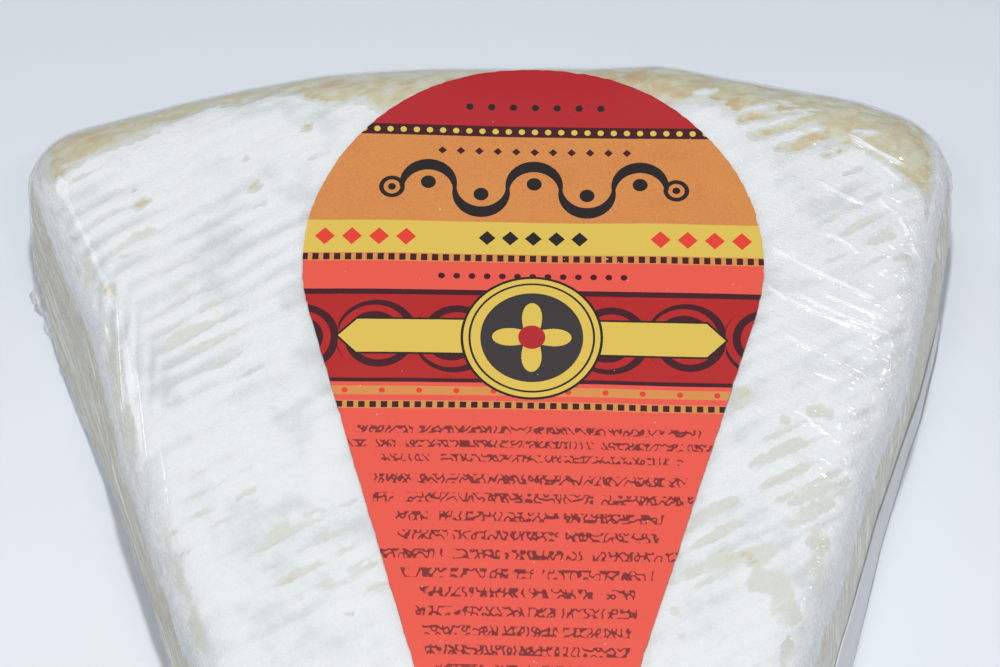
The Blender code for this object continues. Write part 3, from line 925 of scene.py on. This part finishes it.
# Grey of thin bloom, also painted into the grooves and wrinkles as shade
BLOOM_THIN_AND_GROOVE_SHADE = colour(203, 208, 210)
BLOOM_WORN = colour(211, 214, 207)
BEIGE = colour(198, 190, 154)
BEIGE_WARM = colour(200, 176, 138)
BEIGE_PALE = colour(208, 206, 184)
PASTE = colour(200, 193, 167)
PASTE_PALE = colour(210, 209, 194)


def cheese_material():
    recipe = Recipe("rind_and_paste")
    fray = recipe.noise(0.8, detail=4, stretch=(2.4, 1, 1), turn=-MAT_ANGLE, roughness=0.6)
    mottle = recipe.noise(5.5, detail=3)
    patch = recipe.noise(2.4, detail=3)
    fuzz = recipe.noise(0.32, detail=2)
    bare = recipe.stored("bare") + (fray - 0.5) * 0.55
    worn_thin = bare.step(0.16, 0.5)
    worn_through = bare.step(0.6, 0.95)
    groove_shade_share = recipe.stored("groove")
    paste = (recipe.stored("paste") + (fray - 0.5) * 0.3).step(0.3, 0.7)

    uneven = (patch - 0.5) * 0.4 + (fuzz - 0.5) * 0.4
    # Painted shade: the stored groove number greys the bloom in the mat's grooves and wrinkles; the mottle and
    # the uneven noise are thin patches of the bloom itself.
    thin_and_groove_shade = (mottle.step(0.45, 0.75) * 0.5 + groove_shade_share * 0.8 + uneven).step(0, 1)
    bloom = recipe.paint(BLOOM, thin_and_groove_shade, BLOOM_THIN_AND_GROOVE_SHADE)
    beige = recipe.paint(BEIGE_PALE, patch.step(0.35, 0.6), BEIGE)
    beige = recipe.paint(beige, mottle.step(0.44, 0.62) * patch.step(0.4, 0.65), BEIGE_WARM)
    cream = recipe.paint(PASTE, patch.step(0.3, 0.75), PASTE_PALE)
    skin_colour = recipe.paint(recipe.paint(bloom, worn_thin, BLOOM_WORN), worn_through, beige)
    whole = recipe.paint(skin_colour, paste, cream)

    relief = fuzz * 0.6 * (1 - worn_through * 0.6) + fray * 0.9 + patch - worn_thin * 0.4
    normal = recipe.bump(relief, 0.19, 0.85)
    roughness = 0.85 - worn_through * 0.25 - paste * 0.2
    shader = recipe.principled(
        Base_Color=whole, Roughness=roughness, Normal=normal, Subsurface_Weight=0.2, Subsurface_Scale=0.001,
        Subsurface_Radius=(1.0, 0.9, 0.7), Specular_IOR_Level=0.35,
    )
    return recipe.finish(shader)


cheese.data.materials.clear()
cheese.data.materials.append(cheese_material())
print("cheese material:", len(cheese.data.materials[0].node_tree.nodes), "nodes")

# %% [markdown]
# ## Clear film
# Cling film shows mostly by what it mirrors. The material mixes clear with a mirror by the Fresnel share, which
# is a few percent head on and more at a glance, so the upright cuts catch the pale table. On the crests of
# folds and creases the shader is less metallic, which makes them white: these are painted highlights. In
# crumpled scraps and gathered bands the film turns milky the same way. Fine creases are bump: they run across
# the strained corner, along the left cut, and up and down the right one.

# %% Film material
STRAIN_TURN = math.radians(28)
FILM_IOR = 1.45
MOST_MIRRORED = 0.5
MOST_SEEN = 0.85


def creases(recipe, size, stretch, turn):
    """Sharp crests where stretched noise crosses its middle value, from 0 to 1."""
    wave = recipe.noise(size, detail=3, stretch=stretch, turn=turn, roughness=0.6)
    return (1 - abs(wave - 0.5) * 9).either(0)


def film_material():
    recipe = Recipe("clear_film")
    on_cut = recipe.stored("on_cut")
    right = recipe.stored("side").step(-0.5, 0.5)
    strained = recipe.stored("strained")
    strain = creases(recipe, 1.5, (14, 1, 1), STRAIN_TURN)
    long_creases = creases(recipe, 1.1, (1, 16, 1), -LEFT_CUT_ANGLE)
    short_creases = creases(recipe, 1.5, (1, 1, 8), 0)
    crinkle = recipe.noise(3.5, detail=2)
    on_walls = (short_creases * right + long_creases * (1 - right) * 1.5) * on_cut.step(0, 0.5)
    height = strain * strained * 0.35 + on_walls * 0.8 + crinkle * 0.4
    normal = recipe.bump(height, 0.28, 1.0)
    mirrored = recipe.node("ShaderNodeFresnel", {}, {"IOR": FILM_IOR, "Normal": normal})
    # Painted highlight: crests of folds and creases are painted white here by making the mirror less metallic;
    # in scraps and gathered bands this is milky film.
    crests = recipe.stored("folded") * 2 + recipe.stored("bunched") + strain * strained * 0.5 + on_walls * 0.5
    milky = crests.both(1)
    share = (mirrored * 1.1).both(MOST_MIRRORED).either(crests * 0.42).both(MOST_SEEN)
    mirror = recipe.principled(
        Base_Color=colour(246, 248, 252), Metallic=1 - milky, Roughness=0.07, Normal=normal,
    )
    clear = recipe.node("ShaderNodeBsdfTransparent", {}, {})
    return recipe.finish(recipe.node("ShaderNodeMixShader", {}, {0: share, 1: clear, 2: mirror}))


film.data.materials.clear()
film.data.materials.append(film_material())
print("film material:", len(film.data.materials[0].node_tree.nodes), "nodes")

# %% [markdown]
# ## The label's print
# The print is flat colour: bands across the label, and rows of dots, squares and diamonds, which are all old,
# common border patterns. Each is a test on how far a point lies from the head's middle, in mm across (u) and up
# (v). The field carries a plain waving line, the dark red band a running scroll with a rosette and an empty
# ribbon, and the lower field rows of short strokes where small print would be.

# %% Print colours and places
DEEP_RED = colour(174, 38, 44)
MAROON = colour(66, 24, 33)
ORANGE = colour(210, 141, 76)
ORANGE_RED = colour(202, 118, 70)
YELLOW = colour(217, 187, 85)
CORAL = colour(227, 88, 74)
DIAMOND_RED = colour(222, 64, 50)
CRIMSON = colour(176, 38, 38)
INK = colour(38, 32, 33)
WHITE_PAPER = colour(233, 236, 240)
WARM_CORAL = colour(234, 108, 88)
DARK_DISC = colour(58, 52, 54)

CAP_FROM = 17.9
DOT_STRIP_FROM = 16.5
ORANGE_FROM = 4.9
YELLOW_FROM = 0.6
SQUARES_FROM = -0.5
CORAL_FROM = -4.2
LINE_FROM = -4.9
CRIMSON_FROM = -15.6
LOWER_LINE_FROM = -16.1
PEACH_FROM = -17.7
PEACH_TO = -16.6
LOWER_SQUARES_FROM = -19.4
LOWER_SQUARES_TO = -18.4
# Rows of small print, as the height where the first starts, their pitch, their number and the marks' height
SMALL_PRINT = ((-21.1, 1.75, 3, 1.05), (-26.9, 2.28, 21, 1.3))
# The waving line's height on the label, the radius of its bends and how far it reaches each way
WAVE = (9.4, 3.0, 15.0)
SCROLL_PITCH, SCROLL_RADIUS = 8.6, 4.6
RIBBON_REACH, RIBBON_HALF_WIDTH = 21.5, 2.1
ROSETTE_RADIUS, ROSETTE_LINE, DISC_RADIUS = 7.6, 6.9, 5.7
INKED_EDGE = 0.3
PETALS = 4

print("the bands cover", round(CAP_FROM - LOWER_SQUARES_FROM, 1), "mm of the label's head")

# %% [markdown]
# A ring, a row of squares or a scroll is a short expression, so each gets a function that returns its mask. The
# scroll compares a point's angle with its distance from the middle of its cell, which draws a spiral.

# %% Print shapes
def disc(u, v, middle_u, middle_v, radius):
    across, up = u - middle_u, v - middle_v
    return (across * across + up * up) < radius * radius


def ring(u, v, middle_u, middle_v, radius, half_width):
    across, up = u - middle_u, v - middle_v
    return abs((across * across + up * up).root() - radius) < half_width


def squares(u, v, low, high, pitch):
    return v.between(low + 0.12, high - 0.12) * (abs(u.repeated(pitch)) < pitch * 0.29)


def dots(u, v, middle_v, pitch, radius):
    across, up = u.repeated(pitch), v - middle_v
    return (across * across + up * up) < radius * radius


def diamonds(u, v, middle_v, first, count, pitch, size):
    """A row of diamonds on each side of the middle."""
    outward = abs(u) - first
    across = abs(outward.repeated(pitch))
    row = (across + abs(v - middle_v)) < size
    return row * outward.between(-pitch / 2, (count - 0.5) * pitch)


def scroll(u, v, middle_v, pitch, radius):
    """Spirals in a row, wound alternately."""
    across, up = u.repeated(pitch), v - middle_v
    flip = (u / (2 * pitch) + 0.25).math("FRACT") > 0.5
    up = up * (flip * 2 - 1)
    away = (across * across + up * up).root()
    angle = up.math("ARCTAN2", across)
    wound = (away / 1.75 + angle / (2 * math.pi)).math("FRACT")
    return (wound < 0.52) * (away < radius)


def serpentine(u, v, middle_v, radius, half_reach):
    """An inked line that swings over and under, thicker on its bends, with dots in its bays and ringed ends."""
    up = v - middle_v
    thickness = 0.22 + abs(up) * 0.16
    over_u, under_u = u.repeated(4 * radius), (u + 2 * radius).repeated(4 * radius)
    over = (abs((over_u * over_u + up * up).root() - radius) < thickness) * (up > 0)
    under = (abs((under_u * under_u + up * up).root() - radius) < thickness) * (up < 0)
    bay = radius * 0.25
    over_dot = disc(over_u, up, 0, bay, 0.85)
    under_dot = disc(under_u, up, 0, -bay, 0.85)
    end_u = half_reach + 1.1
    ends = ring(abs(u), up, end_u, 0, 1.2, 0.26).either(disc(abs(u), up, end_u, 0, 0.45))
    upper = over.either(over_dot).either(under_dot) * (abs(u) < half_reach + 0.3)
    return upper.either(ends).either(under * (abs(u) < half_reach - radius / 2))


print("print shapes ready")

# %% [markdown]
# The pattern is painted from the back to the front, each colour over the last by its mask.

# %% Print material
def print_rows(recipe, u, v, first, pitch, count, height):
    """Rows of marks too fine to read, broken into groups of uneven length and set in from the label's sides."""
    row = ((first - v) / pitch).math("FLOOR")
    up = abs((v - first + pitch / 2).repeated(pitch))
    fine = recipe.node("ShaderNodeCombineXYZ", {}, {0: u / 0.62, 1: v / 0.78, 2: row * 3.1})
    wave = recipe.node("ShaderNodeTexNoise", {}, {"Vector": fine, "Scale": 1, "Detail": 0}, "Fac")
    mark = abs(wave - 0.5).step(0.12, 0.05)
    slow = recipe.node("ShaderNodeCombineXYZ", {}, {0: u / 2.3, 1: row * 5.37, 2: 0})
    group = recipe.node("ShaderNodeTexNoise", {}, {"Vector": slow, "Scale": 1, "Detail": 1}, "Fac")
    reach = recipe.node("ShaderNodeTexWhiteNoise", {"noise_dimensions": "1D"}, {"W": row}, "Value")
    half_line = 21.5 + (v + 20) * 0.31 - reach * 3.5
    marks = mark * up.step(height / 2, height / 2 - 0.15) * group.step(0.34, 0.36)
    return marks * (abs(u) < half_line) * v.between(first - count * pitch, first)


def print_material():
    recipe = Recipe("label_print")
    centred = recipe.node(
        "ShaderNodeMapping", {"vector_type": "TEXTURE"},
        {"Vector": recipe.place, "Location": HEAD, "Rotation": (0, 0, LABEL_TURN), "Scale": (MM, MM, MM)},
    )
    parts = recipe.node("ShaderNodeSeparateXYZ", {}, {0: centred})
    u = parts
    v = Value(recipe, parts.socket.node.outputs[1])
    speckle = recipe.noise(0.16, detail=1)
    cloud = recipe.noise(4, detail=2)

    orange = recipe.paint(ORANGE, (speckle * 0.8 + cloud * 0.3).step(0.42, 0.85), ORANGE_RED)
    face = recipe.paint(CORAL, speckle.step(0.6, 0.8) * 0.4, WARM_CORAL)
    band_middle = (CRIMSON_FROM + LINE_FROM) / 2
    in_band = v.between(CRIMSON_FROM + 0.6, LINE_FROM - 0.5)
    from_middle = abs(v - band_middle)
    ribbon_end = RIBBON_REACH - from_middle
    ribbon = (from_middle < RIBBON_HALF_WIDTH) * (abs(u) < ribbon_end)
    ribbon_edge = (from_middle < RIBBON_HALF_WIDTH + 0.25) * (abs(u) < ribbon_end + 0.35)
    up = v - band_middle
    away = (u * u + up * up).root()
    petals = (up.math("ARCTAN2", u) * PETALS).math("COSINE")
    layers = [
        (v > ORANGE_FROM, orange),
        (v > DOT_STRIP_FROM, MAROON),
        (dots(u, v, (CAP_FROM + DOT_STRIP_FROM) / 2, 1.5, 0.36), YELLOW),
        (v > CAP_FROM, DEEP_RED),
        (v.between(YELLOW_FROM, ORANGE_FROM), YELLOW),
        (diamonds(u, v, 2.75, 14.3, 4, 3.05, 1.13), DIAMOND_RED),
        (v.between(SQUARES_FROM, YELLOW_FROM), ORANGE),
        (squares(u, v, SQUARES_FROM, YELLOW_FROM, 1.22), MAROON),
        (v.between(LINE_FROM, CORAL_FROM), MAROON),
        (v.between(CRIMSON_FROM, LINE_FROM), CRIMSON),
        (scroll(u, v, band_middle, SCROLL_PITCH, SCROLL_RADIUS) * in_band, MAROON),
        (v.between(LOWER_LINE_FROM, CRIMSON_FROM), MAROON),
        (v.between(PEACH_FROM, PEACH_TO), ORANGE),
        (dots(u, v, (PEACH_FROM + PEACH_TO) / 2, 4.1, 0.34), DIAMOND_RED),
        (v.between(LOWER_SQUARES_FROM, LOWER_SQUARES_TO), ORANGE),
        (squares(u, v, LOWER_SQUARES_FROM, LOWER_SQUARES_TO, 1.24), MAROON),
        (dots(u, v, 20.4, 2.5, 0.42) * (abs(u) < 8.0), INK),
        (diamonds(u, v, 14.5, 0.0, 6, 2.1, 0.5) * (abs(u) < 12.2), MAROON),
        (serpentine(u, v, *WAVE), INK),
        (diamonds(u, v, 2.75, 0.0, 3, 2.6, 0.95), INK),
        (dots(u, v, -2.35, 1.7, 0.38) * (abs(u) < 11.4), MAROON),
        *((print_rows(recipe, u, v, *rows) * 0.8, MAROON) for rows in SMALL_PRINT),
        (ribbon_edge, INK),
        (ribbon, YELLOW),
        (disc(u, v, 0, band_middle, ROSETTE_RADIUS + INKED_EDGE), INK),
        (disc(u, v, 0, band_middle, ROSETTE_RADIUS), YELLOW),
        (ring(u, v, 0, band_middle, ROSETTE_LINE, 0.12), INK),
        (disc(u, v, 0, band_middle, DISC_RADIUS), DARK_DISC),
        (away < 2.9 + petals * 1.5, YELLOW),
        (away < 1.5, DEEP_RED),
    ]
    for mask, ink in layers:
        face = recipe.paint(face, mask, ink)

    specks = recipe.noise(0.5, detail=1).step(0.80, 0.84)
    face = recipe.paint(face, specks * 0.6, WHITE_PAPER)
    normal = recipe.bump(recipe.noise(1.2, detail=3), 0.05, 0.25)
    shader = recipe.principled(
        Base_Color=face, Roughness=0.42 + cloud * 0.12, Normal=normal, Specular_IOR_Level=0.25
    )
    return recipe.finish(shader)


def paper_material():
    recipe = Recipe("white_paper")
    fibre = recipe.noise(0.35, detail=2)
    cloud = recipe.noise(6, detail=2)
    shade = recipe.paint(WHITE_PAPER, cloud * 0.35, colour(206, 211, 220))
    normal = recipe.bump(fibre * 0.5 + cloud, 0.06, 0.3)
    shader = recipe.principled(Base_Color=shade, Roughness=0.45 + fibre * 0.1, Normal=normal)
    return recipe.finish(shader)


white_paper = paper_material()
top_label.data.materials.clear()
top_label.data.materials.append(print_material())
top_label.data.materials.append(white_paper)
side_label.data.materials.clear()
side_label.data.materials.append(white_paper)
print("print material:", len(top_label.data.materials[0].node_tree.nodes), "nodes")

# %% [markdown]
# ## Table and light
# The table is a plain pale plate with a cool tint. Its colour is painted a little darker towards the back, as
# painted shade for light that falls off with distance. The main lamp is small and hangs over the wedge, which
# draws a narrow shadow beside each foot. Two more on the near side soften it, and two low ones at the sides
# light the crests of the film's folds. The sky fills in from overhead and is dim at the horizon, so that what
# the film mirrors has some contrast.

# %% Floor and lights
TABLE_SIZE = 4
# The table's colour near the wedge and at the back; the darker colour at the back is painted shade
NEAR_TABLE = colour(231, 236, 243)
FAR_TABLE_IN_PAINTED_SHADE = colour(208, 216, 225)
# Each lamp's name, its place and its width in metres, and its power in watts
LAMPS = (
    ("overhead", (0.0, -0.03, 0.46), 0.015, 1.04),
    ("near_left", (-0.15, -0.28, 0.72), 0.07, 0.42),
    ("near_right", (0.15, -0.28, 0.72), 0.07, 0.42),
    ("side_left", (-0.62, 0.36, 0.42), 0.26, 0.6),
    ("side_right", (0.62, 0.30, 0.42), 0.10, 0.4),
)
SKY_AT_HORIZON = 0.06
SKY_OVERHEAD = 0.42


def add_floor():
    bpy.ops.object.select_all(action="DESELECT")
    bpy.ops.mesh.primitive_plane_add(size=TABLE_SIZE)
    floor = bpy.context.object
    floor.name = "floor"
    recipe = Recipe("pale_table")
    parts = recipe.node("ShaderNodeSeparateXYZ", {}, {0: recipe.place})
    # Painted shade: the table's colour darkens towards the back, for light that falls off with distance.
    far = Value(recipe, parts.socket.node.outputs[1]).step(0.02, 0.16)
    shade = recipe.paint(NEAR_TABLE, far, FAR_TABLE_IN_PAINTED_SHADE)
    shader = recipe.principled(Base_Color=shade, Roughness=0.55 + recipe.noise(3) * 0.05)
    floor.data.materials.append(recipe.finish(shader))
    return floor


def add_soft_light(name, place, size, watts):
    lamp = bpy.data.lights.new(name, "AREA")
    lamp.shape = "SQUARE"
    lamp.size = size
    lamp.energy = watts
    light = bpy.data.objects.new(name, lamp)
    bpy.context.scene.collection.objects.link(light)
    light.location = place
    light.rotation_euler = (AIM - Vector(place)).to_track_quat("-Z", "Y").to_euler()


def add_sky(horizon, overhead):
    """Light from all round, of one strength at the horizon and another overhead."""
    world = bpy.data.worlds.new("soft_sky")
    bpy.context.scene.world = world
    world.use_nodes = True
    nodes, links = world.node_tree.nodes, world.node_tree.links
    background = nodes["Background"]
    background.inputs["Color"].default_value = (0.98, 0.99, 1, 1)
    direction = nodes.new("ShaderNodeTexCoord")
    parts = nodes.new("ShaderNodeSeparateXYZ")
    strength = nodes.new("ShaderNodeMapRange")
    strength.inputs["From Min"].default_value = 0
    strength.inputs["From Max"].default_value = 0.8
    strength.inputs["To Min"].default_value = horizon
    strength.inputs["To Max"].default_value = overhead
    links.new(direction.outputs["Generated"], parts.inputs[0])
    links.new(parts.outputs["Z"], strength.inputs["Value"])
    links.new(strength.outputs[0], background.inputs["Strength"])


floor = add_floor()
for lamp in LAMPS:
    add_soft_light(*lamp)
add_sky(SKY_AT_HORIZON, SKY_OVERHEAD)
bpy.context.scene.view_settings.view_transform = "Standard"

# %% [markdown]
# ## The pieces on the body
# Each piece rides on the one body and stands for the plain piece that it covers. The helper skin is removed.

# %% Ride and replace
bpy.data.objects.remove(skin, do_unlink=True)
for piece, node, slot in (
    (cheese, "brie_wedge_in_film", "wrapped_cheese"),
    (film, "brie_wedge_in_film", "clear_film"),
    (top_label, "top_label", "printed_label"),
    (side_label, "side_label", "white_label"),
):
    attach(piece, "root")
    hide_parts(node)
